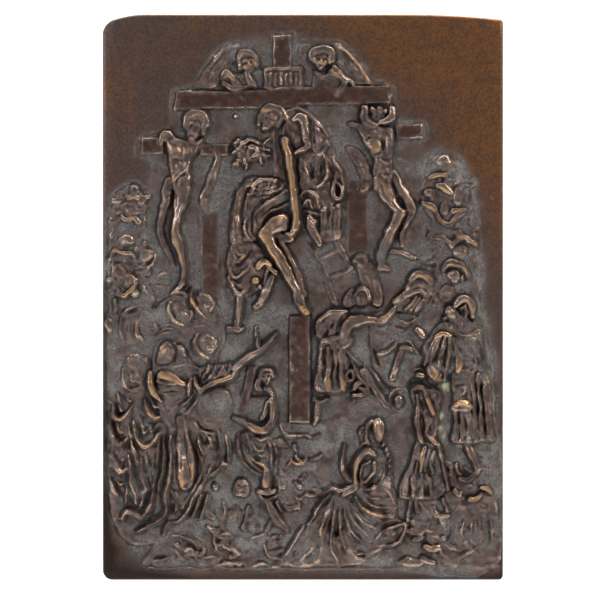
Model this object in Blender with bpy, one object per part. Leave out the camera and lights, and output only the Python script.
"""Cast bronze relief plaque, with a descent from the cross in low relief.

One solid casting. It stands upright in the XZ plane, its flat back at Y = 0 and its relief
towards -Y, with the origin at the middle of the back.
The relief is modelled the way a wax is: limbs, masses and folds are laid on a drawing sheet
in millimetres, from its lower left corner, and the sheet is then fitted to the real plaque.
"""

import math

import bmesh
import bpy
import numpy as np

# Plate, in metres
PLAQUE_WIDTH = 0.150
PLAQUE_HEIGHT = 0.212
PLATE_THICKNESS = 0.0042
EDGE_ROUND = 0.0013
CORNER_TOP_LEFT = 0.0040
CORNER_TOP_RIGHT = 0.0014
CORNER_BOTTOM_LEFT = 0.0036
CORNER_BOTTOM_RIGHT = 0.0018

# The top edge droops towards both ends: by how much, and over what length
DROOP_LEFT, DROOP_LEFT_LENGTH = 0.0036, 0.016
DROOP_RIGHT, DROOP_RIGHT_LENGTH = 0.0020, 0.037

# How far the highest form of the relief stands in front of the plate, in metres
RELIEF_DEPTH = 0.0045

# The drawing sheet of the relief and its highest form, in millimetres
SHEET_WIDTH = 150.0
SHEET_HEIGHT = 212.0
SHEET_DEPTH = 4.5

# How finely the sheet is worked, in its millimetres, and how many facets are kept
SHEET_STEP = 0.6
SHEET_EDGE_STEPS = (0.0, 0.12, 0.35, 0.7, 1.1, 1.6)
FRONT_FACETS = 9000

# Sides of the forms: rise for each millimetre in, so that they leave the mould
DRAFT_SLOPE = 2.4
# Share of its rounding width by which a form falls from its crest to its side
ROUNDNESS = 0.85
# Height over which two forms melt into each other
BLEND = 0.3
CURVE_STEPS = 5

BRONZE_COLOUR = (0.085, 0.045, 0.026, 1.0)
BRONZE_ROUGHNESS = 0.42


def smooth_line(rows, closed=False):
    """Rows of numbers joined by a smooth curve that passes through every row."""
    rows = np.asarray(rows, float)
    if closed:
        before, here = np.roll(rows, 1, axis=0), rows
        after, beyond = np.roll(rows, -1, axis=0), np.roll(rows, -2, axis=0)
    else:
        full = np.vstack([2 * rows[0] - rows[1], rows, 2 * rows[-1] - rows[-2]])
        before, here, after, beyond = full[:-3], full[1:-2], full[2:-1], full[3:]
    parts = []
    for t in np.arange(CURVE_STEPS) / CURVE_STEPS:
        slope = (after - before) * t
        bend = (2 * before - 5 * here + 4 * after - beyond) * t**2
        twist = (3 * here - before - 3 * after + beyond) * t**3
        parts.append(here + (slope + bend + twist) / 2)
    curve = np.stack(parts, axis=1).reshape(-1, rows.shape[1])
    return curve if closed else np.vstack([curve, rows[-1]])


def spread(value, count):
    """One number, or a few, spread evenly over count numbers."""
    value = np.atleast_1d(np.asarray(value, float))
    return np.interp(np.linspace(0, 1, count), np.linspace(0, 1, len(value)), value)


def nearest(u, v, a, b):
    """Distance of each place to the line from a to b, and how far along the line it is."""
    du, dv = b[0] - a[0], b[1] - a[1]
    length = max(du * du + dv * dv, 1e-9)
    t = np.clip(((u - a[0]) * du + (v - a[1]) * dv) / length, 0, 1)
    return np.hypot(u - a[0] - t * du, v - a[1] - t * dv), t


def form_height(inside, edge, top):
    """Height of a form, inside millimetres in from its rim, rounded over its edge."""
    share = np.clip(inside / edge, 0, 1)
    fall = np.minimum(edge, top) * ROUNDNESS
    rounded = top - fall * (1 - np.sqrt(1 - (1 - share) ** 2))
    return np.where(inside > 0, rounded, top - fall + inside * DRAFT_SLOPE)


class Relief:
    """Heights above the plate over the drawing sheet, all in millimetres."""

    def __init__(self, columns, rows):
        self.columns = columns
        self.rows = rows
        self.height = np.zeros((len(rows), len(columns)))

    def window(self, points, pad):
        """The part of the sheet around some points: its index, its U and its V."""
        low = np.min(points, axis=0) - pad
        high = np.max(points, axis=0) + pad
        c0, c1 = np.searchsorted(self.columns, (low[0], high[0]))
        r0, r1 = np.searchsorted(self.rows, (low[1], high[1]))
        u, v = np.meshgrid(self.columns[c0:c1], self.rows[r0:r1])
        return (slice(r0, r1), slice(c0, c1)), u, v

    def lay(self, index, form):
        """Add a form to what is there, melting the two where they meet."""
        under = self.height[index]
        near = np.clip(1 - np.abs(form - under) / BLEND, 0, 1)
        self.height[index] = np.maximum(under, form) + near**2 * BLEND / 4

    def limb(self, points, radii, tops):
        """A round form along a smooth line, with the given radii and crest heights."""
        count = len(points)
        path = smooth_line(
            np.column_stack([points, spread(radii, count), spread(tops, count)])
        )
        pad = path[:, 2].max() + path[:, 3].max() / DRAFT_SLOPE
        index, u, v = self.window(path[:, :2], pad)
        form = np.full(u.shape, -9.0)
        for a, b in zip(path[:-1], path[1:]):
            away, t = nearest(u, v, a, b)
            radius = a[2] + t * (b[2] - a[2])
            top = a[3] + t * (b[3] - a[3])
            form = np.maximum(form, form_height(radius - away, radius, top))
        self.lay(index, form)

    def mass(self, outline, top, edge=1.2):
        """A closed smooth outline raised to top, rounded over edge."""
        line = smooth_line(outline, closed=True)
        index, u, v = self.window(line, top / DRAFT_SLOPE)
        inside = np.zeros(u.shape, bool)
        away = np.full(u.shape, np.inf)
        for a, b in zip(line, np.roll(line, -1, axis=0)):
            away = np.minimum(away, nearest(u, v, a, b)[0])
            if a[1] != b[1]:
                crosses = (a[1] > v) != (b[1] > v)
                inside ^= crosses & (u < a[0] + (v - a[1]) * (b[0] - a[0]) / (b[1] - a[1]))
        self.lay(index, form_height(np.where(inside, away, -away), edge, top))

    def dome(self, u0, v0, half_width, half_height, top, turn=0):
        """An oval boss, turned anticlockwise by turn degrees."""
        reach = max(half_width, half_height) + top / DRAFT_SLOPE
        index, u, v = self.window([(u0, v0)], reach)
        c, s = math.cos(math.radians(turn)), math.sin(math.radians(turn))
        across = ((u - u0) * c + (v - v0) * s) / half_width
        along = ((v - v0) * c - (u - u0) * s) / half_height
        edge = min(half_width, half_height)
        self.lay(index, form_height((1 - np.hypot(across, along)) * edge, edge, top))

    def bar(self, start, end, width, top, edge=0.5):
        """A squared timber from start to end."""
        start, end = np.array(start, float), np.array(end, float)
        length = np.linalg.norm(end - start)
        way = (end - start) / length
        index, u, v = self.window((start, end), width / 2 + 1)
        along = (u - start[0]) * way[0] + (v - start[1]) * way[1]
        across = (v - start[1]) * way[0] - (u - start[0]) * way[1]
        inside = np.minimum(np.minimum(along, length - along), width / 2 - np.abs(across))
        self.lay(index, form_height(inside, edge, top))

    def fold(self, points, width, rise):
        """A ridge added to what is there, or a groove if rise is negative, fading out."""
        path = smooth_line(np.column_stack([points, np.linspace(0, 1, len(points))]))
        index, u, v = self.window(path[:, :2], width)
        swell = np.zeros(u.shape)
        for a, b in zip(path[:-1], path[1:]):
            away, t = nearest(u, v, a, b)
            along = a[2] + t * (b[2] - a[2])
            fade = np.clip(np.minimum(along, 1 - along) * 5 + 0.25, 0, 1)
            bell = np.cos(np.clip(away / width, 0, 1) * math.pi / 2) ** 2
            swell = np.maximum(swell, fade * bell)
        self.height[index] += rise * swell

    def swag(self, points, radius, top):
        """A hanging fold of cloth: thin and low at both ends, full between them."""
        self.limb(points, [0.5 * radius, radius, radius, 0.5 * radius],
                  [top - 0.6, top, top, top - 0.6])

    def pleats(self, upper, lower, count, radius, top):
        """Folds side by side, fanned from one line to another and fuller below."""
        for t in np.linspace(0, 1, count):
            a = (1 - t) * np.array(upper[0]) + t * np.array(upper[1])
            b = (1 - t) * np.array(lower[0]) + t * np.array(lower[1])
            self.limb([a, (a + b) / 2, b], [0.6 * radius, 0.8 * radius, radius],
                      [top - 0.5, top - 0.2, top])

    def head(self, u, v, size, top, turn=0, look=0):
        """A head of a given height. look runs from -1, facing left, to 1, facing right."""
        c, s = math.cos(math.radians(turn)), math.sin(math.radians(turn))

        def at(a, b):
            return u + size * (a * c - b * s), v + size * (a * s + b * c)

        front = 0.16 * look
        self.dome(*at(0, 0.08), 0.36 * size, 0.42 * size, top - 0.2, turn)
        self.dome(*at(front, -0.22), 0.24 * size, 0.28 * size, top - 0.3, turn)
        self.limb([at(-0.32, -0.08), at(-0.3, 0.26), at(0, 0.42), at(0.3, 0.26), at(0.32, -0.08)],
                  0.11 * size, top)
        self.fold([at(front - 0.2, 0.05), at(front, 0.02), at(front + 0.2, 0.05)],
                  0.09 * size, -0.4)
        self.limb([at(1.7 * front, 0.08), at(2 * front, -0.12)], 0.055 * size, top)
        self.fold([at(1.5 * front - 0.1, -0.27), at(1.5 * front + 0.1, -0.27)],
                  0.06 * size, -0.3)


def ground(r):
    """Low rising ground and the crowded flanks that the figures grow out of."""
    r.mass([(18, 5.2), (60, 4.8), (100, 4.8), (147.5, 5), (147, 60), (130, 72), (100, 70),
            (84, 60), (66, 60), (46, 70), (42, 40), (28, 24), (19, 13)], 0.5)
    r.mass([(2.2, 104), (2.2, 133), (4.5, 142), (9, 147.6), (13, 147.6), (15.6, 142),
            (17, 137), (15, 128), (14, 121), (17, 112), (20, 104), (10, 101)], 0.8)
    r.mass([(1.8, 100), (9, 102), (20, 101.5), (33, 107), (42, 104), (46, 92), (42, 80),
            (40, 70), (48, 58), (46, 44), (36, 30), (24, 18), (12, 19), (4, 28), (2, 60)], 1.0)
    r.mass([(121, 156), (126, 160), (131, 158.5), (137, 149), (141, 137), (143, 120),
            (145, 90), (146, 52), (131, 52), (125, 75), (118, 97), (124, 112), (123.5, 125),
            (119.5, 140)], 0.8)
    r.mass([(101, 100), (120, 98), (121, 88), (119, 80), (112, 72), (104, 76), (100.5, 84)],
           0.8)
    r.limb([(18, 5), (60, 4.7), (100, 4.7), (147, 4.9)], 0.5, 0.6)


def crosses(r):
    """Three crosses of squared timber, the middle one with its tablet."""
    r.bar((67.2, 128), (67.2, 180), 6.8, 0.5)
    r.bar((67.2, 180), (67.2, 203.7), 6.4, 0.9)
    r.bar((27.5, 179.2), (106.8, 181.6), 7.0, 1.1)
    r.bar((73.9, 59), (73.9, 100), 7.6, 1.2)
    r.bar((14.4, 162.3), (30, 162), 6.4, 0.8)
    r.bar((30, 161.2), (47.4, 160.9), 4.2, 0.8)
    r.bar((39.3, 159), (39.3, 110), 8.8, 0.35)
    r.bar((108, 167.7), (119.8, 168), 5.0, 0.9)
    r.bar((96, 166), (96, 124), 10, 0.35)
    tablet_left, tablet_right, tablet_low, tablet_high = 60.9, 74.2, 184.2, 191.1
    middle = (tablet_low + tablet_high) / 2
    r.bar((tablet_left, middle), (tablet_right, middle), tablet_high - tablet_low, 1.2)
    corners = [(tablet_left, tablet_low), (tablet_right, tablet_low),
               (tablet_right, tablet_high), (tablet_left, tablet_high)]
    for a, b in zip(corners, corners[1:] + corners[:1]):
        r.limb([a, b], 0.5, 1.7)
    for stroke in np.linspace(tablet_left + 1.7, tablet_right - 1.7, 5):
        r.limb([(stroke, tablet_low + 1.4), (stroke, tablet_high - 1.4)], 0.55, 1.6)


def ladder(r):
    """Ladder leaning on the middle cross."""
    r.limb([(78.7, 119.7), (86.5, 103.7)], 1.3, 1.0)
    r.limb([(87, 127), (94.5, 114.5)], 1.3, 1.0)
    r.limb([(83.9, 112.8), (90.8, 114.9)], 0.8, 0.9)


def angels(r):
    """Two half-length angels above the beam, each with one raised wing."""
    r.swag([(35, 184), (40.2, 192.5), (46.5, 199.2), (52, 199.8)], 1.1, 1.5)
    r.swag([(40.4, 187), (44.2, 194), (48.5, 198.3)], 0.9, 1.2)
    r.mass([(44, 188), (47, 190.5), (51, 189.5), (55, 188.5), (57, 185.5), (52, 183),
            (47, 184.4)], 0.9, 0.8)
    r.limb([(45.6, 188.6), (48, 188.2), (49.6, 186)], [1.3, 1.5, 1.1], [1.6, 1.9, 1.6])
    r.limb([(45.8, 185.3), (49.5, 184), (52.2, 184.4)], [0.8, 1.1, 0.9], 1.7)
    r.limb([(54, 188), (56.8, 185.6)], [1.1, 0.7], [1.8, 1.4])
    r.head(54.3, 193.4, 8.4, 2.1, turn=-8, look=-0.3)
    r.dome(75.8, 198, 2.2, 2.6, 0.8)
    r.swag([(87.5, 200), (91, 197.1), (94.6, 192.8), (99.6, 186)], 1.0, 1.5)
    r.mass([(79.3, 189.2), (78.4, 185), (84, 181.6), (90, 183), (92.4, 186), (88, 190)],
           0.8, 0.8)
    r.limb([(86.7, 191.5), (91, 187.7), (93.6, 185.4)], 0.6, 1.2)
    r.limb([(85.8, 189.6), (89, 188.2), (91, 186.4)], [1.6, 1.4, 1.2], [1.6, 1.7, 1.9])
    r.limb([(91, 186.4), (89.4, 184.4), (87.4, 181.9)], [1.2, 1.1, 0.9], [1.9, 1.8, 1.6])
    r.limb([(79.3, 188.8), (82, 187.8), (84.8, 189.6)], 0.5, 1.5)
    r.head(81.6, 195, 9.2, 2.3, look=-0.2)


def left_thief(r):
    """Nude figure bound to the left cross, arms hooked over the beam."""
    r.limb([(24.6, 147), (24.2, 142), (23.1, 137), (21.8, 132.4), (24, 126.5), (26.6, 118)],
           [1.5, 1.8, 1.7, 1.5, 1.5, 1.1], [1.6, 1.8, 1.7, 1.7, 1.5, 1.0])
    r.limb([(37, 163), (41.5, 161.5), (44, 156.5), (41, 150), (39.2, 144.5), (38.2, 140.6)],
           [1.3, 1.3, 1.6, 1.6, 1.4, 1.6], [1.6, 1.5, 1.4, 1.4, 1.3, 1.2])
    r.limb([(25, 164.5), (21.5, 166.6), (19.8, 163)], [1.7, 1.6, 1.3], [1.9, 1.9, 1.7])
    r.mass([(24.4, 164.6), (30, 165.4), (36.6, 163), (34.2, 157.5), (33.4, 150), (32, 145),
            (27.4, 145), (25.2, 150), (24.6, 157)], 2.1, 1.8)
    r.dome(27.3, 160.4, 1.9, 3.6, 2.7)
    r.dome(31.8, 159, 1.6, 3.2, 2.7)
    r.limb([(30.4, 154.5), (27.6, 151), (26.3, 148.2)], 1.5, [2.3, 2.5, 2.6])
    r.limb([(31, 150), (29.9, 141.5), (28.3, 135), (27.9, 130), (29.3, 125), (30, 119),
            (30, 111.5)], [2.7, 2.8, 2.1, 1.9, 2.0, 1.6, 1.2],
           [2.5, 2.8, 2.8, 3.0, 2.9, 2.7, 2.2])
    r.limb([(29.6, 109.6), (27.8, 107.6), (26, 107)], [1.4, 1.2, 0.8], [2.0, 1.7, 1.3])
    r.head(34.4, 169.2, 10.6, 2.8, turn=-14, look=-0.3)


def right_thief(r):
    """Nude figure bound to the right cross, head sunk between raised elbows."""
    r.limb([(109.5, 152), (113, 145), (116, 139.2), (113, 132), (110.4, 125)],
           [1.6, 1.7, 1.5, 1.4, 1.1], 1.2)
    r.limb([(108.8, 122.8), (113, 121.6), (116.6, 120.6)], [1.2, 1.0, 0.5], 1.2)
    r.mass([(92, 161), (95, 161.5), (98.5, 156), (100.8, 150), (100.8, 145.6), (96.6, 145),
            (97.2, 150), (94.5, 154.5)], 1.4, 1.0)
    r.limb([(93, 170.5), (96, 169.4), (99, 168)], [0.9, 1.3, 1.6], [1.4, 1.6, 1.9])
    r.mass([(94.6, 169.3), (98, 170), (104, 169.5), (109, 168), (108.9, 160), (108.4, 154),
            (107.8, 148), (101.6, 146.5), (101, 152), (100.9, 156.5), (98.4, 163)], 2.3, 1.8)
    r.dome(102, 161.8, 2.4, 4.2, 3.0, 12)
    r.dome(106.9, 162, 1.9, 3.8, 2.7)
    r.dome(105.4, 154.4, 2.7, 3.4, 2.9)
    r.limb([(104.2, 151), (107.2, 144), (111, 137.2)], [3.2, 2.9, 1.9], [2.8, 3.0, 3.1])
    r.limb([(111, 137.2), (109.3, 134), (107.2, 130), (105.3, 125), (104, 120), (104, 117.6)],
           [1.9, 2.1, 1.9, 1.6, 1.2, 1.5], [3.1, 3.0, 2.9, 2.7, 2.5, 2.2])
    r.limb([(103.8, 117.2), (107, 116.4)], [1.5, 1.2], [2.1, 1.8])
    r.dome(103.4, 174.2, 3.2, 2.8, 1.7)
    r.limb([(97.8, 176.4), (97.9, 173.2), (99.4, 170.8), (101.8, 169.6)],
           [1.3, 1.6, 1.8, 1.2], [2.4, 2.7, 3.0, 2.7])
    r.limb([(109, 176.4), (108.9, 174.2), (107, 172.2), (103.6, 172.2)],
           [1.3, 1.4, 1.5, 1.0], [2.4, 2.6, 2.8, 2.5])
    r.dome(100.4, 175.2, 0.8, 1.4, 2.2, 10)
    r.dome(103.6, 176.5, 0.9, 0.7, 2.1)


def helper(r):
    """Bearded man leaning over the beam, his cloak round his shoulders."""
    r.mass([(66, 176), (71, 176), (78, 173), (83, 168), (86, 163), (88, 156), (90.5, 149),
            (89.5, 142), (87.5, 138), (76, 140), (73.5, 146), (73, 158), (70, 166)], 1.3)
    r.swag([(69, 175.8), (74, 174.8), (79, 171.6), (83.6, 166.8), (86.2, 162.4)], 0.9, 2.0)
    r.swag([(83.2, 165.6), (84.2, 162), (82.4, 159)], 0.7, 2.1)
    r.limb([(75.4, 172), (76.4, 168), (77.4, 162.6)], [2.2, 2.0, 1.7], [3.0, 3.2, 3.4])
    r.limb([(77.4, 162.2), (75.6, 161), (72.6, 160)], [1.6, 1.4, 1.0], [3.4, 3.3, 3.0])
    r.swag([(83.2, 158.5), (84.4, 153), (83.6, 149.4), (81, 147)], 0.9, 2.6)
    r.swag([(85.2, 158.4), (88.4, 152.6), (90, 148.6)], 0.9, 2.1)
    r.swag([(87.4, 152.4), (86.6, 147.6), (87, 144), (88.9, 143.4), (89, 147)], 0.6, 2.3)
    r.swag([(78.8, 156), (79.8, 151.6), (79, 148)], 0.8, 2.0)
    r.mass([(81, 147.4), (88, 143.4), (88.6, 138), (88.2, 127.6), (82.6, 126.6), (81.8, 133)],
           1.7, 0.8)
    r.pleats([(82.6, 146.4), (86.6, 144.4)], [(83, 139), (86.6, 139)], 3, 0.7, 2.2)
    r.dome(83, 138.5, 1.1, 0.9, 2.6)
    r.dome(86.2, 138.7, 1.0, 0.8, 2.6)
    r.pleats([(83.2, 137.4), (87, 137.4)], [(83, 128), (87.4, 127.8)], 3, 0.8, 2.2)
    r.swag([(75.4, 144.2), (77.6, 145), (80.2, 142.6), (81.4, 138)], 0.9, 2.6)
    r.swag([(76.6, 141.2), (77.8, 138.4), (80.6, 137.6)], 0.8, 2.6)
    r.dome(79, 132.6, 1.5, 1.3, 2.6)
    r.limb([(78.8, 131), (79.6, 128.4), (81, 125.8)], [1.9, 1.7, 1.1], [2.2, 2.4, 2.7])
    r.head(63, 172, 11, 2.4, turn=-22, look=-0.2)
    r.swag([(64.5, 168.8), (66.4, 167.4), (68.4, 169)], 0.9, 2.2)


def bearer(r):
    """Stooping man below, who takes the weight on his shoulder."""
    r.mass([(54.4, 150.6), (66, 150.6), (70, 147), (70, 140), (66, 136), (58, 128), (52, 126),
            (48.6, 122), (48.3, 131), (49, 140), (51, 147)], 1.2)
    r.mass([(47, 124), (46.4, 118), (47.4, 111.6), (50.6, 106.2), (56, 107.4), (60.6, 110.4),
            (63, 116), (61.4, 122), (57, 126.4), (52, 127)], 1.5)
    r.limb([(53.4, 150), (50.4, 143), (49.7, 135), (49, 128.5), (49.6, 124)],
           [1.0, 1.2, 1.3, 1.5, 1.0], [2.1, 2.5, 2.7, 3.0, 2.4])
    for points in (
        [(48.3, 123.6), (49.8, 120), (52, 120), (56.4, 124.4)],
        [(47.2, 117.6), (48.4, 113.8), (50.8, 112.8), (54.6, 116.6), (57, 121)],
        [(47.9, 111.4), (50, 107.6), (52.5, 107.8), (55.6, 112)],
    ):
        r.swag(points, 1.2, 2.8)
    r.swag([(56.8, 134), (57.6, 138), (60.8, 140.9), (66, 143.6), (70, 147)], 1.6, 3.0)
    r.swag([(57.4, 131), (59.4, 136), (64, 139.4), (70, 143)], 1.1, 2.2)
    r.swag([(52.4, 134.4), (53.2, 131.2), (56, 128)], 1.1, 2.3)
    r.swag([(58.2, 116.6), (60.2, 118.8), (62.2, 118)], 1.2, 3.1)
    r.swag([(61.2, 117), (60.6, 113.6), (60.2, 111.4)], 0.8, 2.9)
    r.dome(57, 112, 1.4, 1.7, 2.8, 30)
    r.limb([(62.4, 116.2), (64.6, 115.4)], 1.3, 2.8)
    r.limb([(63, 112.8), (61.2, 108.6), (59.2, 104.4), (57, 102.6)], [1.1, 1.5, 1.3, 0.9],
           [2.3, 2.5, 2.3, 2.0])
    r.limb([(51, 105.6), (50.5, 100), (49.9, 94.6)], [1.4, 1.3, 1.0], [2.3, 2.2, 1.9])
    r.limb([(47, 93.6), (52.6, 93.7)], 0.8, 1.7)
    r.dome(60.6, 146.8, 5.2, 3.9, 2.1)
    for lump in ((57.4, 147, 1.6), (61.8, 147.4, 1.8), (58.2, 143.6, 1.3), (64.6, 148, 1.3)):
        r.dome(lump[0], lump[1], lump[2], lump[2], 2.7)


def lowered_figure(r):
    """The dead man: head fallen to the left, one arm hanging, knees bent, legs hanging."""
    r.dome(55.4, 160.4, 6.6, 4.6, 2.4)
    r.limb([(51.2, 163.6), (50.4, 160.6), (51.6, 157.4)], [1.4, 1.6, 1.3], [3.0, 3.4, 3.1])
    r.limb([(54, 161.2), (56, 163), (59.4, 162.8)], 0.9, [2.9, 3.2, 3.0])
    r.limb([(56, 157), (59, 157.6), (61.4, 158.2)], [1.2, 1.3, 1.0], 2.8)
    r.fold([(53.4, 162.6), (54.2, 159.4), (53.6, 157)], 0.9, -0.7)
    r.limb([(65.4, 129.2), (68, 128.2), (70.6, 127.9)], [1.3, 1.3, 1.1], [2.6, 2.7, 2.4])
    r.mass([(58.8, 130.6), (61, 133.6), (65, 136), (68.6, 137.4), (70, 134), (69, 131.6),
            (66, 130.8), (62, 128.6)], 3.7, 1.4)
    r.limb([(67.6, 135.4), (63, 132.8), (60.6, 130.6)], [1.3, 1.7, 1.9], [4.0, 4.3, 4.5])
    r.limb([(60.8, 130), (64.6, 125.4), (68, 118.2), (71.4, 112), (73.6, 108)],
           [2.1, 2.8, 2.5, 2.1, 1.7], [4.5, 4.5, 4.4, 4.0, 3.4])
    r.limb([(72.6, 108), (74.2, 103.6), (76, 99.8)], [2.0, 2.4, 1.3], [3.6, 3.4, 3.0])
    r.limb([(69.5, 164), (70, 160), (71.4, 150), (71.9, 144), (72.2, 138), (72, 132.4)],
           [1.5, 1.5, 1.5, 1.7, 1.7, 2.0], [4.0, 4.4, 4.5, 4.5, 4.5, 4.5])
    r.limb([(72, 132.6), (70.8, 130.4), (68.8, 129.8)], [1.7, 1.3, 0.8], [4.4, 3.8, 3.0])


def left_crowd(r):
    """Onlookers piled up the left side, little more than heads and shoulders."""
    r.limb([(3, 134), (3.4, 140), (5.6, 144.6), (9.2, 147.8), (12, 148.4)], 0.8, 1.1)
    r.dome(12, 139.2, 3.8, 3.4, 1.8)
    r.limb([(8.3, 141.8), (10.2, 143.2), (12.6, 143.4)], [0.8, 1.2, 1.2], [1.9, 2.2, 2.2])
    r.dome(12, 146, 1.7, 1.9, 1.8)
    r.limb([(15, 138.6), (16.3, 137.4), (15.6, 134.6)], 0.9, 1.9)
    r.limb([(7.9, 135), (10, 135.5), (12.6, 135.3), (14, 133.4)], [1.1, 0.8, 0.9, 0.9],
           [2.4, 2.1, 2.1, 2.3])
    r.dome(9.4, 126.9, 3.9, 2.7, 1.8)
    r.limb([(4.8, 123.2), (7.5, 122.8), (10.8, 121.4), (12, 123.6), (13.9, 125.6)], 0.8, 2.1)
    r.dome(8.8, 114.6, 4.2, 5.4, 1.7, -20)
    r.swag([(4.4, 121), (4.4, 115), (5.8, 109.6), (8.6, 107)], 1.0, 1.8)
    r.limb([(5.9, 107.8), (8.3, 107), (10.6, 108.4), (13.4, 111.8)], [0.8, 1.0, 0.9, 1.4], 2.3)
    r.dome(12.4, 107.2, 1.8, 1.6, 2.1)
    r.swag([(13, 114.5), (15.5, 109.5), (17.5, 106)], 0.7, 1.4)
    r.swag([(13.6, 119.8), (15, 117.7), (18, 117.3), (19.7, 119.8)], 0.7, 1.4)
    r.dome(23, 113.8, 2.6, 1.1, 0.9, 8)
    r.dome(5, 102.4, 1.6, 2.6, 1.9, 15)
    r.dome(2.8, 95.8, 1.4, 3, 1.6)


def mourners(r):
    """Four hooded women in two rows, each with a lit crescent of veil beside her face."""
    r.dome(14.6, 95, 7.8, 7.8, 1.5)
    r.swag([(8.6, 88.5), (6.7, 93), (7.3, 97.5), (10, 101.2), (14.5, 102.2), (18.8, 101.2)],
           1.1, 1.9)
    r.swag([(21, 98.6), (22, 103), (25.4, 105.8)], 0.8, 1.5)
    r.swag([(20.5, 91.5), (23, 93.6), (27.5, 94), (30, 92.8)], 0.8, 1.6)
    r.swag([(30.2, 91.5), (32.8, 94), (38.5, 95), (42.6, 92.6), (43.8, 90)], 0.7, 1.5)
    for u, v, radius, top in ((17.2, 94.6, 3.6, 2.1), (30.2, 99.8, 4.2, 2.0),
                              (38.8, 103.6, 3.6, 2.0), (39.6, 87.5, 4.2, 2.3)):
        r.dome(u, v, radius, radius, top)
        r.fold([(u - 0.4 * radius, v + 0.5 * radius), (u + 0.6 * radius, v + 0.4 * radius)],
               0.7, -0.4)
        r.dome(u + 0.5 * radius, v - 0.2 * radius, 0.9, 1.1, top + 0.3)
    for points in (
        [(14.8, 97.8), (12.8, 93.8), (13.4, 91), (15.4, 89.6)],
        [(26.3, 104), (25.4, 100.3), (27.2, 97.6), (30.4, 95.4)],
        [(34.1, 107.6), (34.2, 104.6), (36, 101.4), (38.8, 98)],
        [(35.7, 91.8), (34.7, 89), (36.2, 86), (40.2, 83.2)],
    ):
        r.swag(points, 1.3, 2.8)
    r.limb([(41.4, 90), (42.6, 87.6), (44, 86)], [0.8, 0.9, 1.0], 2.4)


def left_robes(r):
    """Veiled woman at the far left and the hanging robes of the left group."""
    r.mass([(8.4, 84.5), (12, 85.8), (17.6, 82), (17, 76), (16, 66), (20, 56), (22, 45),
            (18, 33), (12, 29), (6, 36), (3, 50), (5, 66)], 1.6)
    r.dome(12.4, 81.8, 3.8, 4.2, 2.8)
    r.dome(15.4, 81, 2.0, 2.6, 2.3)
    r.swag([(8.4, 79), (8.6, 75), (10.3, 72), (13.5, 72.6), (15.6, 74)], 1.1, 2.9)
    for points in (
        [(5.9, 70), (6.4, 67.6), (7, 66)],
        [(4.3, 64), (6.2, 60.4), (8.3, 61.2), (11.6, 64.9)],
        [(3.2, 58.5), (5, 54), (6.8, 51.8), (9.2, 53.8)],
        [(16.2, 67.4), (17.3, 63.4), (18.9, 61.2), (21.8, 61.8)],
        [(15.3, 62), (15.7, 58.6), (15.9, 55.4)],
        [(12.3, 59.4), (13.6, 54.2), (15.2, 51.2), (17.6, 52.2), (21.5, 55.4)],
        [(4.2, 46.6), (6.2, 41.8), (7.8, 40.5), (10, 41.8)],
    ):
        r.swag(points, 1.2, 2.7)
    r.swag([(11.2, 54), (12.3, 49.5), (14.6, 41), (16.8, 34.2)], 1.3, 2.6)
    r.swag([(10.5, 42), (11.6, 36), (12.2, 30)], 1.2, 2.3)
    r.swag([(25.4, 46), (24.8, 38), (23.9, 32), (24.5, 28), (22, 23.6), (18, 21), (13.4, 19.2)],
           1.5, 2.6)
    r.swag([(7.8, 23.6), (9, 25.4), (11.5, 24.8), (15.5, 23.8), (17.6, 26), (19, 31.4)],
           1.2, 2.3)


def main_mourner(r):
    """The nearest woman of the left group, veiled, her robe swinging down to her feet."""
    r.mass([(20, 89), (24, 91), (28, 89), (32, 84), (36, 78), (40, 74), (46, 57), (46.6, 45),
            (39, 36), (33, 27), (27, 21), (23, 20), (25, 30), (25.6, 50), (20, 66),
            (17.6, 76)], 1.9)
    r.dome(23.8, 85.6, 3.9, 5.0, 3.8, -8)
    r.dome(29.2, 85.4, 2.9, 3.1, 2.7)
    r.limb([(29.4, 82.6), (32.6, 83.4)], 0.8, 3.0)
    r.fold([(27.4, 88.4), (27.2, 85), (27.6, 82)], 0.8, -0.8)
    r.mass([(20.6, 77.2), (24.4, 77.8), (30.4, 73.9), (30.3, 72.6), (21.5, 73.4)], 3.1, 0.8)
    r.mass([(21, 73), (30.4, 72.2), (31, 69.8), (24.5, 69.2), (21, 70)], 2.3, 0.8)
    r.swag([(17.9, 77.6), (18.2, 74), (19.2, 70.6), (21.8, 67.4)], 1.5, 3.6)
    r.dome(33.5, 72.8, 1.3, 3.7, 3.4, -4)
    r.limb([(36, 76.6), (38, 75), (37.3, 71)], 0.9, 3.0)
    r.swag([(26, 62.2), (28.6, 65), (31.8, 67.4)], 1.0, 2.6)
    r.swag([(28.6, 61), (32, 63.6), (34.6, 66.8), (36.2, 68)], 0.9, 2.8)
    r.limb([(28, 59.8), (28.6, 52), (29.6, 45), (30.8, 39)], [0.8, 1.1, 1.4, 1.4],
           [2.4, 2.9, 3.2, 3.3])
    r.limb([(31, 60), (32.2, 53), (33.8, 46), (34.2, 41), (32.4, 36.6), (30.6, 34.6),
            (28.8, 36.6), (27.8, 40.4)], [0.8, 1.0, 1.3, 1.4, 1.2, 1.2, 1.0, 0.7],
           [2.4, 2.8, 3.2, 3.6, 3.5, 3.3, 3.0, 2.6])
    for points in (
        [(34.9, 63.4), (36.6, 59.8), (39.6, 58), (44.4, 57)],
        [(38, 64.6), (39.8, 61.4), (44, 59.6)],
        [(36.2, 54.4), (37.5, 49.6), (39.2, 47.8)],
        [(43.6, 56.4), (45.4, 52), (46.7, 45)],
        [(40.2, 38.6), (42.8, 40.6), (46.4, 43.6)],
        [(39.3, 31.4), (38.3, 27.6), (36.6, 23.4)],
    ):
        r.swag(points, 0.9, 2.4)
    r.swag([(44, 51.6), (39.6, 40), (34.5, 32.5), (32.4, 27), (28.4, 22.6), (24.2, 21.8),
            (22.7, 17.6)], 0.9, 2.4)


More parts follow.
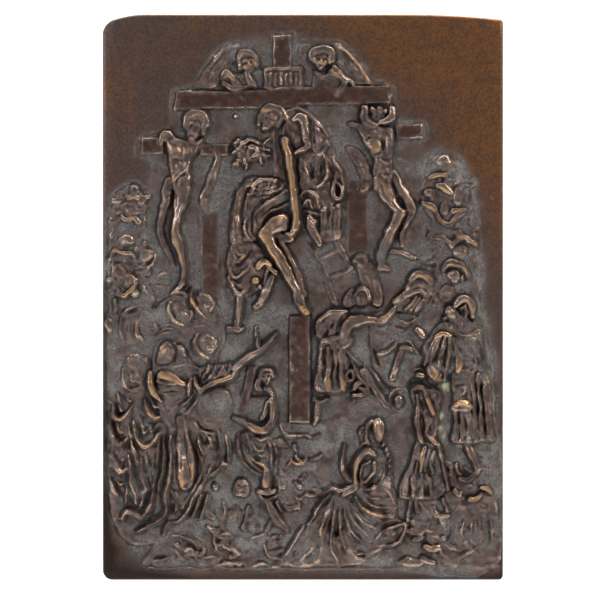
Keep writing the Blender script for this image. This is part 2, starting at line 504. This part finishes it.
def pointing_arm(r):
    """Sleeve and forearm flung out towards the foot of the cross."""
    r.mass([(38, 72.6), (42.5, 73.8), (47.8, 75.8), (49, 81.4), (41, 81.4), (35.6, 78.6)],
           2.2, 0.8)
    r.limb([(37.6, 71.4), (38.8, 73), (42.5, 74.1), (47.8, 76.2)], [0.9, 1.0, 1.0, 1.1], 3.3)
    for cuff in (39.6, 43.2, 46.6):
        r.limb([(cuff, 76.8), (cuff + 2, 80.4)], 0.8, 3.0)
    r.limb([(48.6, 79.6), (53, 82), (57.6, 85.8), (61.2, 88.2), (65, 92.2)],
           [1.7, 1.7, 1.4, 1.3, 0.8], [3.0, 3.2, 3.3, 3.3, 2.8])
    r.limb([(58.8, 87), (58.2, 90)], 0.9, 2.9)


def crouching_man(r):
    """Man crouching at the foot of the cross, one forearm across his knees."""
    r.bar((57.2, 80), (51.6, 62.4), 4, 1.0)
    r.mass([(55, 68), (60, 69.4), (64.4, 68), (64.6, 60), (60, 59), (54, 61)], 1.2)
    r.head(61.6, 76.6, 7.6, 2.6, turn=10, look=-0.4)
    r.limb([(58.6, 75), (57.2, 72.4), (59.4, 71)], [1.3, 1.4, 0.8], 2.1)
    r.limb([(63.3, 67), (63.1, 62), (62.3, 58)], [1.3, 2.0, 2.1], [2.5, 3.0, 3.3])
    r.limb([(62.3, 57.6), (58.5, 57.5), (54.4, 58.8)], [2.0, 1.7, 1.3], [3.4, 3.2, 2.8])
    r.limb([(53, 59), (50, 60.8)], [1.8, 1.1], [2.5, 2.1])
    r.mass([(51.4, 54.6), (56, 56.2), (62, 54.6), (65.6, 50), (63.6, 42), (61.6, 38.6),
            (55, 41), (51.4, 46)], 1.5)
    r.swag([(51.4, 55), (51, 50), (52.6, 45), (56, 41.4), (60, 40)], 0.8, 2.0)
    r.swag([(54.2, 46.6), (58, 44.6), (60.6, 43), (62.6, 40)], 1.4, 2.9)
    r.dome(58.4, 48.2, 1.7, 0.9, 2.2)
    r.dome(61.7, 36, 2.1, 2.7, 3.1, 8)
    r.swag([(58.6, 32.6), (61, 30.2), (64.8, 31.4)], 1.1, 2.8)
    r.limb([(62.3, 27), (64.6, 23.6), (66.8, 20.4), (70.4, 18.6)], [1.2, 1.7, 1.6, 0.9],
           [2.1, 2.5, 2.4, 1.9])
    r.limb([(64.6, 29.8), (66.8, 25)], 0.8, 1.9)
    r.limb([(57.6, 95), (57.2, 90)], 0.9, 1.0)


def soldier(r):
    """Man bending forward with a reaching arm, in a pleated short tunic."""
    r.mass([(79.5, 95.5), (81.5, 99), (86, 101), (91, 100.8), (91, 95), (86, 90.6),
            (82.5, 89.5), (80.4, 91)], 2.2)
    r.fold([(83, 91), (86.8, 97.4)], 0.8, -0.9)
    r.mass([(91, 101.8), (89.7, 104.5), (92, 108.6), (94.4, 108.6), (95, 103)], 1.5)
    r.dome(97, 105.6, 2.8, 4.3, 2.8)
    r.mass([(81.4, 87.8), (90, 87.4), (91.2, 80), (90.6, 71.2), (79.8, 71.2), (80, 78)],
           1.9, 0.8)
    r.limb([(82.2, 86), (81, 80), (80.8, 72.4)], [0.7, 0.9, 1.0], [2.4, 2.7, 2.9])
    r.limb([(84.8, 86.4), (84.4, 80), (85, 72.2)], [0.9, 1.1, 1.5], [2.8, 3.1, 3.6])
    r.limb([(89, 86), (87.8, 81), (88.2, 76.6), (89.4, 72.2)], [0.9, 1.0, 1.0, 1.2],
           [2.8, 3.0, 3.2, 3.6])
    r.limb([(83.2, 89.8), (85, 90.4), (88, 91)], [1.5, 1.2, 1.2], 3.1)
    r.limb([(90.2, 89.6), (90.8, 93.4), (93.4, 96.6), (98, 97.4), (102, 97.4)],
           [2.4, 3.2, 3.0, 2.1, 1.6], [3.3, 3.7, 3.7, 3.4, 3.3])
    r.limb([(103, 96.8), (105.4, 97.8), (107.4, 100), (109.6, 101.6)], [1.2, 1.6, 1.6, 1.3],
           [3.3, 3.4, 3.3, 3.0])
    r.swag([(90.4, 84.6), (91.2, 80.4), (91.6, 77), (92.8, 76), (94, 77.6)], 1.0, 2.9)
    r.swag([(90.8, 86), (93.5, 83), (96.4, 80.8)], 0.8, 2.0)
    r.swag([(93.2, 79.8), (96, 75.8), (98.6, 73), (99.4, 69.8)], 1.0, 2.1)
    r.dome(95.2, 73.2, 1.9, 2.4, 2.3, 30)
    r.limb([(94.4, 69), (97, 69.2), (99.4, 69.9)], 1.0, 2.3)
    r.limb([(80.4, 67.4), (82, 66.6), (84, 67.6)], 1.0, 2.4)
    r.limb([(81.4, 65.6), (80.2, 61.6), (79.2, 59)], [1.7, 1.5, 1.2], [2.2, 2.2, 2.0])


def bystanders(r):
    """Figures between the reaching man and the bearded man, low and half hidden."""
    r.mass([(94.8, 118), (98.6, 121.6), (103.4, 112), (104.4, 103.6), (100.8, 103)], 0.9)
    r.dome(96.8, 118.9, 2.5, 2.6, 1.7)
    r.swag([(94.4, 119), (96, 121.2), (98.6, 120.2)], 0.7, 2.0)
    r.swag([(99.6, 115), (101, 110.6), (103, 104)], 0.8, 1.4)
    r.fold([(101.2, 87.4), (102.4, 83.6), (103.8, 80)], 0.8, -1.0)
    r.limb([(103.4, 84.8), (106, 85.6), (109.4, 88.4)], [0.9, 1.1, 0.8], [1.8, 2.0, 1.8])
    r.limb([(108.5, 76), (109.6, 80.6), (111.3, 85.2)], [1.2, 1.4, 1.2], [2.0, 2.2, 2.1])
    r.limb([(111.8, 87.3), (113.6, 87), (115.4, 86.2)], 1.0, 2.2)
    r.swag([(112.8, 89.8), (115, 89), (117.4, 85.6), (119.4, 83.2)], 0.7, 1.8)
    r.limb([(97.3, 78.4), (102, 71.5), (106, 65.4)], 1.2, 1.5)
    r.swag([(107.3, 64.6), (107.2, 68), (109, 71), (112, 72)], 1.0, 1.8)
    r.dome(110.6, 67, 1.8, 2.4, 2.2, -25)
    r.swag([(108, 96), (110.6, 94.2), (114, 94), (118, 96)], 0.8, 1.7)
    r.swag([(110, 98.2), (114.5, 96.6), (118.5, 98.4)], 0.7, 1.7)
    r.limb([(117.8, 93.8), (120, 91.4)], [1.4, 1.1], 2.4)
    r.mass([(108.6, 106.4), (113, 110.6), (117, 115), (122, 114), (123.8, 110), (121.4, 104),
            (118.5, 100.4), (113, 101), (108.6, 103.4)], 1.8)
    r.limb([(115.6, 114), (118.5, 114.1), (121.6, 112.7), (123.4, 110.8)],
           [1.1, 1.4, 1.1, 0.7], [3.0, 3.2, 3.1, 2.8])
    r.swag([(118, 112), (120, 112.2), (122, 110.8)], 0.8, 3.0)
    for i in range(3):
        r.swag([(120.4 - 0.2 * i, 107.8 - 2.2 * i), (117.4, 105.6 - 2 * i),
                (114.2 + 0.6 * i, 104 - 1.6 * i)], 0.8, 2.8)
    r.swag([(108, 105), (111, 107.8), (114.6, 107)], 0.9, 2.1)


def right_crowd(r):
    """Onlookers piled up the right side."""
    r.dome(127.6, 156, 2.9, 3.0, 1.8)
    r.limb([(122.4, 150.4), (125, 151.4), (128, 151.4)], [0.8, 1.2, 1.0], [1.8, 2.1, 1.9])
    r.dome(128.6, 149.2, 1.5, 1.3, 1.9)
    r.limb([(125.6, 147.3), (128, 146.7), (130, 144.8)], [1.1, 1.5, 0.8], [2.0, 2.2, 1.9])
    r.limb([(130, 147.2), (132.4, 148.6), (135, 149)], 1.2, 1.8)
    r.dome(132.7, 142.8, 2.0, 3.6, 1.9)
    r.dome(122.8, 144, 2.0, 1.6, 1.7, 30)
    r.limb([(119.6, 140.8), (122, 140.3), (124.6, 139.2), (125.2, 137.4)],
           [0.8, 1.1, 1.0, 0.6], 1.9)
    r.dome(128.2, 138.4, 2.2, 3.0, 1.6)
    r.limb([(126.4, 135.6), (128.8, 133.7), (131.2, 136), (134.6, 137.3)], 1.0, 2.2)
    r.limb([(131, 138), (134.4, 138)], 0.8, 1.9)
    r.dome(137.6, 133.6, 0.8, 1.1, 1.8)
    r.limb([(123.6, 127.8), (127, 127.8), (129.8, 124.8)], [0.8, 1.1, 0.8], 1.9)
    r.limb([(130.8, 124.8), (133, 127.4), (135.8, 128)], [0.8, 1.3, 1.0], 2.1)
    r.dome(133.6, 129.6, 1.9, 1.7, 2.0)
    r.limb([(136.8, 126.7), (139.2, 126)], 0.8, 1.9)
    r.dome(134.8, 122, 3.0, 3.2, 1.5)
    r.limb([(128.4, 115.8), (130.2, 117.6), (133.4, 117), (134.4, 115.2)],
           [1.1, 1.5, 1.5, 0.8], [2.4, 2.8, 2.8, 2.4])
    r.swag([(133.8, 118.4), (136, 117.2), (137, 114.6)], 1.0, 2.4)
    r.dome(131, 113, 2.2, 2.6, 2.1)
    r.dome(131.4, 111.4, 1.1, 0.8, 2.5)
    r.dome(129.4, 107.6, 3.0, 3.1, 2.1)


def bearded_man(r):
    """Tall man at the right edge, cape over wide sleeves above a pleated coat."""
    r.mass([(130.6, 77.4), (145, 77.6), (146, 66), (145.6, 52), (130.4, 52), (131, 64)],
           1.9, 0.8)
    r.pleats([(138.4, 76), (143.6, 76)], [(139.6, 53), (144.4, 53)], 2, 1.3, 2.8)
    r.pleats([(131.6, 62), (136, 62)], [(131.4, 53), (136.4, 53)], 3, 1.0, 2.6)
    for angle in range(0, 360, 60):
        a, b = math.radians(angle), math.radians(angle + 60)
        r.limb([(134.2 + 1.5 * math.cos(a), 71 + 1.5 * math.sin(a)),
                (134.2 + 1.5 * math.cos(b), 71 + 1.5 * math.sin(b))], 0.5, 2.8)
    r.mass([(130.1, 63.8), (132, 67.6), (134.5, 66.8), (136.8, 68), (138.2, 64.4),
            (136, 63.8), (134, 62.9)], 3.3, 0.9)
    r.limb([(137, 51.4), (138.8, 46.5), (140.6, 41.6)], [2.2, 2.2, 1.8], [1.9, 2.0, 1.9])
    r.limb([(134, 38.8), (137.5, 38.4), (141.5, 39.7)], [1.1, 1.3, 1.0], [1.8, 2.0, 1.8])
    r.mass([(124, 96), (131, 97), (137, 97), (141, 96.6), (143.6, 86), (145.3, 78.4),
            (139, 77), (131, 77.4), (126, 76), (119, 84)], 2.3)
    r.mass([(126, 94.6), (130.6, 93.4), (132.4, 88), (131, 83), (129, 77.8), (125, 73.8),
            (121.4, 74.6), (120.6, 79), (119.3, 84), (122.3, 90.5)], 2.7)
    r.swag([(127.4, 92.6), (125, 88), (123.4, 82.6)], 1.1, 3.5)
    r.swag([(129.8, 92), (129.4, 88), (128, 82)], 1.1, 3.6)
    r.swag([(124.6, 90), (122.6, 87), (121, 84)], 0.8, 3.2)
    r.dome(124.2, 78.5, 2.9, 4.3, 3.9, -4)
    r.dome(118.9, 76.7, 2.3, 1.6, 2.7, 20)
    r.limb([(131.7, 88.4), (132.8, 84), (133.5, 80.2), (132.8, 77.8)], [0.9, 1.3, 1.4, 0.8],
           [3.1, 3.4, 3.6, 3.2])
    r.swag([(134.8, 89), (136.4, 84), (138.4, 79.6)], 1.0, 3.2)
    r.swag([(138.2, 88), (139.6, 84.6), (141.6, 81)], 0.9, 2.9)
    r.swag([(142, 90), (144, 82), (144.4, 78)], 0.9, 2.7)
    r.swag([(133.8, 78.4), (135.8, 78.6), (137.2, 77.7), (138.8, 78.3), (139.5, 81.4)],
           0.8, 3.3)
    r.dome(134.2, 97, 4.2, 3.2, 2.7)
    r.dome(130.2, 99.8, 3.5, 3.9, 3.0, 20)
    r.limb([(130.6, 101.6), (129.9, 98.4)], 0.7, 3.3)
    r.dome(127.8, 97.8, 1.1, 1.0, 2.9)
    r.limb([(132.2, 103.8), (133.6, 105), (136.4, 104.6), (138.3, 102.2), (138, 99)],
           [1.4, 1.8, 2.1, 1.9, 1.1], [3.1, 3.5, 3.6, 3.5, 3.1])
    r.swag([(130.2, 94.2), (133, 92.5), (135.6, 91.5), (139.8, 93.8)], 1.1, 3.2)


def standing_woman(r):
    """Woman standing in a long gown, her hair falling over one shoulder."""
    r.mass([(114.6, 71), (117, 73.2), (121, 72.6), (126, 69), (125.4, 58), (125.4, 51),
            (129, 36), (125.4, 31.2), (117, 30.4), (111, 31.4), (111.6, 37), (116.3, 51),
            (116.6, 62)], 1.7, 0.9)
    r.swag([(116, 72), (118.6, 72.3), (120.6, 69.6), (121.2, 66.2), (123.4, 62.6)], 1.4, 3.3)
    r.swag([(123.4, 72), (126, 70), (125.8, 66.8), (124.2, 64.6)], 0.8, 2.5)
    r.limb([(117.2, 69), (117.6, 62), (118, 56.4), (118.7, 52.6)], [1.2, 1.3, 1.6, 1.3],
           [2.9, 3.0, 3.3, 3.5])
    r.limb([(122.4, 59.6), (121.2, 56.8)], 0.9, 3.1)
    r.limb([(121.8, 53.4), (124.2, 51.6)], 1.0, 3.2)
    r.limb([(119.5, 49.6), (119, 45.5), (118.8, 41)], [1.4, 1.2, 0.7], [3.0, 3.1, 2.6])
    for points in (
        [(123, 48.4), (121.2, 44.4), (120.4, 40.4)],
        [(115.8, 46), (114.4, 40), (112.8, 33)],
        [(117, 40.6), (116.2, 35.6), (116, 31.8)],
        [(120.8, 39.8), (122.4, 37.8), (122.2, 33)],
        [(124.4, 42), (124, 37), (124.4, 32.2)],
    ):
        r.swag(points, 1.1, 2.9)
    r.swag([(125.7, 51), (127, 45), (128.2, 39), (128.6, 33.6)], 1.3, 2.8)
    r.limb([(115, 29.8), (114.6, 26), (113.9, 22.8)], [1.2, 1.1, 0.9], 1.9)
    r.limb([(115.2, 19.6), (118.8, 19.2)], 0.8, 1.7)
    r.limb([(127, 30.4), (129, 25.8)], [1.2, 1.0], 1.8)
    r.limb([(124.4, 23.9), (129, 24)], [0.8, 1.1], 1.8)


def kneeling_woman(r):
    """Woman kneeling with her back to us, a braid down it and her skirt spread out."""
    r.mass([(85.5, 34.5), (94, 36), (104, 38), (109.6, 33), (110, 25), (113.8, 21),
            (112, 14.4), (106, 13), (101, 9), (97, 6.2), (84, 5.4), (68, 5.6), (67.6, 10),
            (77, 21.6), (81, 28)], 1.9)
    r.mass([(94.2, 42), (95.5, 48), (100, 50.4), (104.8, 49), (107.8, 44), (108.4, 36),
            (106, 31), (97, 31), (94.3, 35)], 2.5)
    r.dome(100.6, 54, 4.8, 6.4, 1.9)
    r.dome(103.2, 56.6, 2.7, 4.9, 3.9, 4)
    r.dome(98, 55.2, 2.0, 2.5, 2.5)
    braid = smooth_line([(104.2, 51), (105.8, 48.6), (106.8, 44.6), (107.2, 39.6)])
    for u, v in braid[::2]:
        r.dome(u, v, 1.0, 0.8, 3.2, -20)
    r.limb([(94.7, 36), (94.5, 40), (95.2, 44.4), (97.2, 47.6), (100, 48.8), (102, 46.6)],
           [0.9, 1.2, 1.4, 1.7, 1.4, 0.7], [3.6, 3.9, 4.0, 4.0, 3.8, 3.2])
    r.swag([(101.8, 45), (101, 41.8), (99.4, 38.4)], 0.7, 3.2)
    r.limb([(90.2, 50.6), (90.3, 46), (90.8, 41), (92.8, 37.4)], [1.1, 1.2, 1.5, 1.4], 2.5)
    r.limb([(85.2, 33.6), (89, 34), (92.8, 35.4)], 1.0, 3.1)
    r.limb([(91.2, 32), (94.4, 34.6)], 1.0, 3.3)
    r.limb([(96.8, 35), (99, 34.6), (101.4, 35.4)], 1.0, 3.2)
    r.swag([(94.6, 31.4), (97.5, 27), (100.5, 25), (104, 24.2), (108, 24.6), (109.6, 28)],
           1.3, 3.5)
    r.swag([(95.8, 33.4), (98.5, 31), (102.4, 30.4)], 1.0, 3.1)
    for points, radius, top in (
        ([(85.6, 33.2), (80.4, 27.2), (77.2, 22)], 1.0, 2.8),
        ([(75, 20.4), (71.4, 13.8), (68.6, 10)], 1.1, 2.7),
        ([(84.3, 31.6), (82.6, 22), (81.2, 18), (82.2, 16.2)], 1.8, 3.3),
        ([(86.5, 31), (86, 22), (85.3, 13), (86.8, 9.2), (89, 6.6)], 1.4, 3.1),
        ([(88.4, 31), (89.2, 20.4), (90, 14), (92, 10.6)], 1.4, 3.1),
        ([(90, 30), (91.8, 22.8), (94.6, 18.4), (99.6, 15.6)], 1.4, 3.1),
        ([(93, 29), (95.4, 24), (97.4, 20.8)], 1.0, 2.8),
        ([(102.3, 15.4), (106, 19.6), (112.4, 21.6)], 1.1, 3.0),
        ([(103.6, 14.1), (108, 14.5), (111.2, 16.6), (113.2, 21)], 1.1, 3.0),
        ([(76.6, 12), (77, 14.6), (77.6, 17)], 1.0, 2.4),
        ([(75.8, 10.4), (74, 8.6), (72, 6.8)], 1.2, 2.5),
        ([(90.6, 12.6), (93.5, 8.8), (97.6, 7), (99.8, 8.6)], 1.1, 2.6),
    ):
        r.swag(points, radius, top)


def stones(r):
    """Rocks, a skull and bones along the bottom, and a draped block at the right."""
    r.dome(51.6, 34.6, 3.5, 3.9, 2.0)
    r.swag([(48.3, 33.6), (49.5, 31.8), (52, 31), (54.8, 31.4)], 1.0, 2.6)
    r.dome(42.4, 35.2, 1.4, 1.8, 1.9)
    r.limb([(55.4, 27.4), (53.5, 25.4), (52.9, 22), (51.8, 19.8)], [0.7, 0.9, 1.0, 1.5], 1.8)
    for points, radius, top in (
        ([(30, 16.2), (32.3, 15.6), (34.6, 14), (35.8, 12.2)], 1.3, 2.3),
        ([(31, 11), (33, 12.2), (34.8, 10.4)], 1.1, 2.2),
        ([(41.3, 20), (42, 16), (42.7, 12.6)], 1.4, 2.0),
        ([(43, 17.4), (46, 18), (48.8, 16.6)], 1.0, 1.7),
        ([(48.2, 13.8), (49.6, 11.2), (51.2, 10.2)], 1.5, 2.2),
        ([(19.8, 7.4), (22, 8.4), (24.8, 9.2)], 1.1, 1.8),
        ([(36, 8.4), (39, 9.4), (42.4, 9.2)], 0.9, 1.6),
        ([(42.4, 5.8), (46, 6.8), (50.4, 7)], 1.0, 1.7),
        ([(60.8, 13), (61.8, 10.2), (64, 8.7), (67.4, 8.5)], 1.1, 2.0),
        ([(55, 5), (57.5, 6.5), (61.4, 6.2)], 1.2, 2.0),
        ([(55.6, 16), (58.5, 16.8), (61, 18.2)], 0.9, 1.4),
        ([(63, 15.8), (65.4, 16.8), (67.6, 16.2)], 0.9, 1.4),
        ([(69, 43), (70.2, 44.4), (70.6, 45.8)], 0.9, 1.8),
        ([(72.2, 43.6), (75, 44), (77, 46.4)], 1.1, 2.0),
        ([(71.3, 32), (73.4, 30.8), (76.6, 33)], 1.0, 1.7),
        ([(73.2, 30), (73.5, 28), (73.7, 26)], 1.0, 1.5),
        ([(66.8, 57.6), (68.5, 55), (72, 54.5), (76.4, 55.5), (79.5, 53.9), (82, 54.6)],
         1.1, 2.0),
    ):
        r.swag(points, radius, top)
    r.dome(74.6, 38.1, 1.3, 0.9, 1.7)
    r.mass([(121, 18), (128, 22.4), (134, 29), (142, 33), (147.4, 33), (148, 20), (148, 6),
            (129, 5.6), (123, 9)], 1.2)
    r.limb([(137, 31.2), (139.5, 30.8), (141, 32.4)], [1.1, 1.5, 0.9], 2.3)
    r.limb([(142, 34.6), (145.6, 33.2)], [1.2, 1.0], 2.0)
    for points, radius, top in (
        ([(143, 31.6), (146.6, 31), (147.2, 27)], 0.9, 1.8),
        ([(141, 27), (141.4, 20), (141, 14.6)], 1.3, 2.2),
        ([(144.5, 26), (145, 20), (144.3, 15.4)], 1.1, 2.2),
        ([(136, 24), (134.6, 19), (133, 15.6)], 1.1, 2.1),
        ([(141.4, 13.8), (136, 10.2), (129.6, 8)], 2.0, 2.3),
        ([(141, 5.9), (144.5, 5.7), (147.8, 5.8)], 0.9, 1.8),
        ([(122.4, 16.8), (124.4, 16.2), (126.2, 15.2)], 1.1, 2.0),
    ):
        r.swag(points, radius, top)
    r.dome(122.8, 12.3, 3.0, 2.1, 2.2, -15)
    r.dome(127.8, 17.4, 1.5, 1.4, 1.9)
    r.dome(115.5, 7.2, 5.8, 2.3, 1.9)


FIGURES = (
    ground, crosses, ladder, angels, left_thief, right_thief, helper, bearer,
    lowered_figure, left_crowd, mourners, left_robes, main_mourner, pointing_arm,
    crouching_man, soldier, bystanders, right_crowd, bearded_man, standing_woman,
    kneeling_woman, stones,
)


def sheet_lines(length, step):
    """Places of the grid lines across the sheet, closer together at both edges."""
    first = np.array(SHEET_EDGE_STEPS)
    count = round((length - 2 * first[-1]) / step)
    middle = np.linspace(first[-1], length - first[-1], count + 1)[1:-1]
    return np.concatenate([first, middle, length - first[::-1]])


def corner_inset(distance, radius):
    """How far a round corner sets the side in, at a distance from the end of the plate."""
    short = np.clip(radius - distance, 0, radius)
    return radius - np.sqrt(radius**2 - short**2)


def plate_position(columns, rows):
    """X and Z of every grid crossing, with the plate's four rounded corners."""
    z = rows / SHEET_HEIGHT * PLAQUE_HEIGHT
    left = np.maximum(corner_inset(z, CORNER_BOTTOM_LEFT),
                      corner_inset(PLAQUE_HEIGHT - z, CORNER_TOP_LEFT))
    right = PLAQUE_WIDTH - np.maximum(corner_inset(z, CORNER_BOTTOM_RIGHT),
                                      corner_inset(PLAQUE_HEIGHT - z, CORNER_TOP_RIGHT))
    share = columns / SHEET_WIDTH
    x = left[:, None] + share[None, :] * (right - left)[:, None]
    return x, np.repeat(z[:, None], len(columns), axis=1)


def edge_distance(x, z):
    """Distance in from the plate's outline."""
    from_right, from_top = PLAQUE_WIDTH - x, PLAQUE_HEIGHT - z
    inside = np.minimum(np.minimum(x, from_right), np.minimum(z, from_top))
    for across, up, radius in (
        (x, from_top, CORNER_TOP_LEFT), (from_right, from_top, CORNER_TOP_RIGHT),
        (x, z, CORNER_BOTTOM_LEFT), (from_right, z, CORNER_BOTTOM_RIGHT),
    ):
        in_corner = (across < radius) & (up < radius)
        arc = radius - np.hypot(radius - across, radius - up)
        inside = np.where(in_corner, arc, inside)
    return np.maximum(inside, 0)


def drooped(x, z):
    """Z with the top edge drawn down towards its ends, and the plate less and less below."""
    left = np.clip(1 - x / DROOP_LEFT_LENGTH, 0, 1)
    right = np.clip(1 - (PLAQUE_WIDTH - x) / DROOP_RIGHT_LENGTH, 0, 1)
    return z - (DROOP_LEFT * left**2 + DROOP_RIGHT * right**2) * (z / PLAQUE_HEIGHT) ** 8


def front_mesh():
    """The whole front of the plaque as one open sheet."""
    columns = sheet_lines(SHEET_WIDTH, SHEET_STEP)
    rows = sheet_lines(SHEET_HEIGHT, SHEET_STEP)
    relief = Relief(columns, rows)
    for figure in FIGURES:
        figure(relief)
    x, z = plate_position(columns, rows)
    inside = np.minimum(edge_distance(x, z), EDGE_ROUND)
    rounding = EDGE_ROUND - np.sqrt(EDGE_ROUND**2 - (EDGE_ROUND - inside) ** 2)
    height = relief.height * np.clip(inside / EDGE_ROUND, 0, 1)
    y = -(PLATE_THICKNESS - rounding + height * RELIEF_DEPTH / SHEET_DEPTH)
    points = np.stack([x - PLAQUE_WIDTH / 2, y, drooped(x, z) - PLAQUE_HEIGHT / 2], axis=-1)
    index = np.arange(x.size).reshape(x.shape)
    quads = np.stack([index[:-1, :-1], index[:-1, 1:], index[1:, 1:], index[1:, :-1]], axis=-1)
    mesh = bpy.data.meshes.new("front")
    mesh.from_pydata(points.reshape(-1, 3).tolist(), [], quads.reshape(-1, 4).tolist())
    corner = np.minimum(x, PLAQUE_WIDTH - x) + np.minimum(z, PLAQUE_HEIGHT - z)
    in_corner = (corner < CORNER_TOP_LEFT) & (inside <= 0)
    return mesh, index[~in_corner].tolist()


def thinned(mesh, free_points, facets):
    """A copy of a mesh with about the given number of triangles, kept where it bends."""
    holder = bpy.data.objects.new("thinning", mesh)
    bpy.context.collection.objects.link(holder)
    holder.vertex_groups.new(name="free").add(free_points, 1.0, "REPLACE")
    decimate = holder.modifiers.new("Decimate", "DECIMATE")
    decimate.ratio = facets / (2 * len(mesh.polygons))
    decimate.vertex_group = "free"
    decimate.vertex_group_factor = 100.0
    decimate.use_collapse_triangulate = True
    evaluated = holder.evaluated_get(bpy.context.evaluated_depsgraph_get())
    result = bpy.data.meshes.new_from_object(evaluated)
    bpy.data.objects.remove(holder)
    return result


def close_back(mesh):
    """Carry the sheet's border straight back to Y = 0 and close it with one flat face."""
    body = bmesh.new()
    body.from_mesh(mesh)
    border = [edge for edge in body.edges if edge.is_boundary]
    walls = bmesh.ops.extrude_edge_only(body, edges=border)
    for item in walls["geom"]:
        if isinstance(item, bmesh.types.BMVert):
            item.co.y = 0.0
    rim = [item for item in walls["geom"]
           if isinstance(item, bmesh.types.BMEdge) and item.is_boundary]
    bmesh.ops.contextual_create(body, geom=rim)
    bmesh.ops.recalc_face_normals(body, faces=body.faces)
    body.to_mesh(mesh)
    body.free()


def bronze():
    """Dark patinated cast bronze."""
    material = bpy.data.materials.new("patinated_bronze")
    material.use_nodes = True
    shader = material.node_tree.nodes["Principled BSDF"]
    shader.inputs["Base Color"].default_value = BRONZE_COLOUR
    shader.inputs["Metallic"].default_value = 1.0
    shader.inputs["Roughness"].default_value = BRONZE_ROUGHNESS
    return material


def build():
    for item in list(bpy.data.objects):
        bpy.data.objects.remove(item)
    front, free_points = front_mesh()
    mesh = thinned(front, free_points, FRONT_FACETS)
    close_back(mesh)
    mesh.name = "plaque"
    mesh.materials.append(bronze())
    mesh.shade_smooth()
    mesh.set_sharp_from_angle(angle=math.radians(40))
    plaque = bpy.data.objects.new("plaque", mesh)
    bpy.context.collection.objects.link(plaque)


build()
